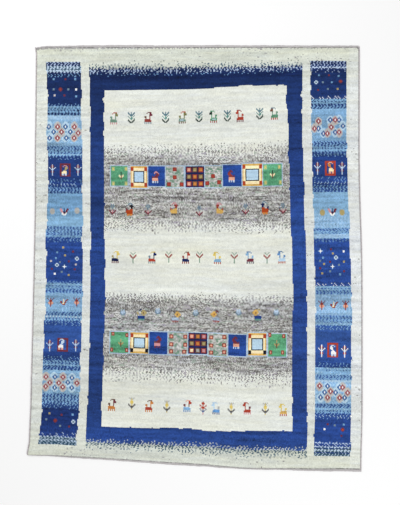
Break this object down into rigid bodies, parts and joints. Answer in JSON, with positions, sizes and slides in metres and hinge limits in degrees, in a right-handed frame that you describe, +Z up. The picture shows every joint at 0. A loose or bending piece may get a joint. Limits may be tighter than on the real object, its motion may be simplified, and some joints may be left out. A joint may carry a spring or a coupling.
{
  "type": "gabbeh rug",
  "caption": "Hand-knotted wool rug lying flat, with short flat-woven ends and overcast sides; ivory ground, blue frame, animal and plant motifs.",
  "frame": {"origin": "on the floor, under the middle of the rug's box", "axes": "+X to the right and +Y to the far end as seen in the picture, +Z up out of the pile"},
  "size_m": [1.5322, 1.9466, 0.012],
  "materials": {
    "wool_pile": "short cut wool pile, matt with a faint sheen",
    "edge_wool": "wrapped and flat-woven wool yarn, matt"
  },
  "bodies": {
    "root": {"rug_body": "wool_pile", "selvedge_left": "edge_wool", "selvedge_right": "edge_wool"}
  },
  "joints": []
}
